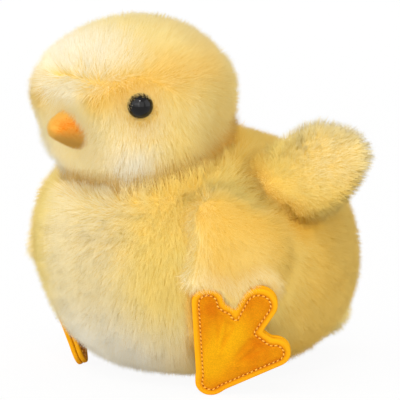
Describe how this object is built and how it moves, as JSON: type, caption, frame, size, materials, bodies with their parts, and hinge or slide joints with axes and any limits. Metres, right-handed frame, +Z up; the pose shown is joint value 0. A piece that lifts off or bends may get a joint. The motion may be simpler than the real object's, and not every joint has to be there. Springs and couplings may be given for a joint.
{
  "type": "plush chick",
  "caption": "Small sitting plush chick with long cream-yellow pile, blunt orange beak, glossy bead eyes, stub wings, round thighs, stitched felt feet and a short tail.",
  "frame": {"origin": "centre of the bounding box's bottom face, on the surface that the chick sits on", "axes": "+Z up; the chick faces -Y, so its beak points along -Y and its left side is +X"},
  "size_m": [0.12, 0.1284, 0.1175],
  "materials": {
    "fur_pile": "long pile, cream tips over golden roots",
    "beak_pile": "short orange pile",
    "felt": "soft felt, edge stitched",
    "wadding": "loose fibre",
    "calico": "plain woven",
    "bead": "polished",
    "washer": "moulded"
  },
  "bodies": {
    "body": {"body_base_panel": "fur_pile", "body_belly_panel": "fur_pile", "body_left_panel": "fur_pile", "body_right_panel": "fur_pile", "body_stuffing": "wadding", "pellet_bag": "calico", "ankle_left": "felt", "ankle_right": "felt", "thigh_left_cover": "fur_pile", "thigh_left_stuffing": "wadding", "thigh_right_cover": "fur_pile", "thigh_right_stuffing": "wadding", "tail_cover": "fur_pile", "tail_stuffing": "wadding"},
    "neck": {"neck_stuffing": "wadding"},
    "head": {"head_cap_panel": "fur_pile", "head_left_cheek_panel": "fur_pile", "head_right_cheek_panel": "fur_pile", "head_stuffing": "wadding", "eye_left": "bead", "eye_right": "bead", "eye_left_washer": "washer", "eye_right_washer": "washer", "beak_cover": "beak_pile", "beak_stuffing": "wadding"},
    "wing_left": {"wing_left_front_panel": "fur_pile", "wing_left_back_panel": "fur_pile", "wing_left_stuffing": "wadding"},
    "wing_right": {"wing_right_front_panel": "fur_pile", "wing_right_back_panel": "fur_pile", "wing_right_stuffing": "wadding"},
    "foot_left": {"foot_left_sole_felt": "felt", "foot_left_back_felt": "felt", "foot_left_wadding": "wadding"},
    "foot_right": {"foot_right_sole_felt": "felt", "foot_right_back_felt": "felt", "foot_right_wadding": "wadding"}
  },
  "joints": [
    {"name": "head_turn", "type": "hinge", "parent": "body", "child": "neck", "pos_m": [0, -0.02833, 0.092], "axis": [0, 0, 1], "range_deg": [-25, 25], "stiffness_Nm_per_rad": 0.05},
    {"name": "head_nod", "type": "hinge", "parent": "neck", "child": "head", "pos_m": [0, -0.02833, 0.092], "axis": [1, 0, 0], "range_deg": [-8, 10], "stiffness_Nm_per_rad": 0.05},
    {"name": "wing_left_flap", "type": "hinge", "parent": "body", "child": "wing_left", "pos_m": [0.0356, -0.00283, 0.0641], "axis": [0.4466, -0.0432, -0.8937], "range_deg": [-15, 30], "stiffness_Nm_per_rad": 0.02},
    {"name": "wing_right_flap", "type": "hinge", "parent": "body", "child": "wing_right", "pos_m": [-0.0356, -0.00283, 0.0641], "axis": [0.4466, 0.0432, 0.8937], "range_deg": [-15, 30], "stiffness_Nm_per_rad": 0.02},
    {"name": "foot_left_tilt", "type": "hinge", "parent": "body", "child": "foot_left", "pos_m": [0.03364, -0.02173, 0.01526], "axis": [0.6691, 0.7431, 0], "range_deg": [-6, 22], "stiffness_Nm_per_rad": 0.02},
    {"name": "foot_right_tilt", "type": "hinge", "parent": "body", "child": "foot_right", "pos_m": [-0.03364, -0.02173, 0.01526], "axis": [0.6691, -0.7431, 0], "range_deg": [-6, 22], "stiffness_Nm_per_rad": 0.02}
  ]
}
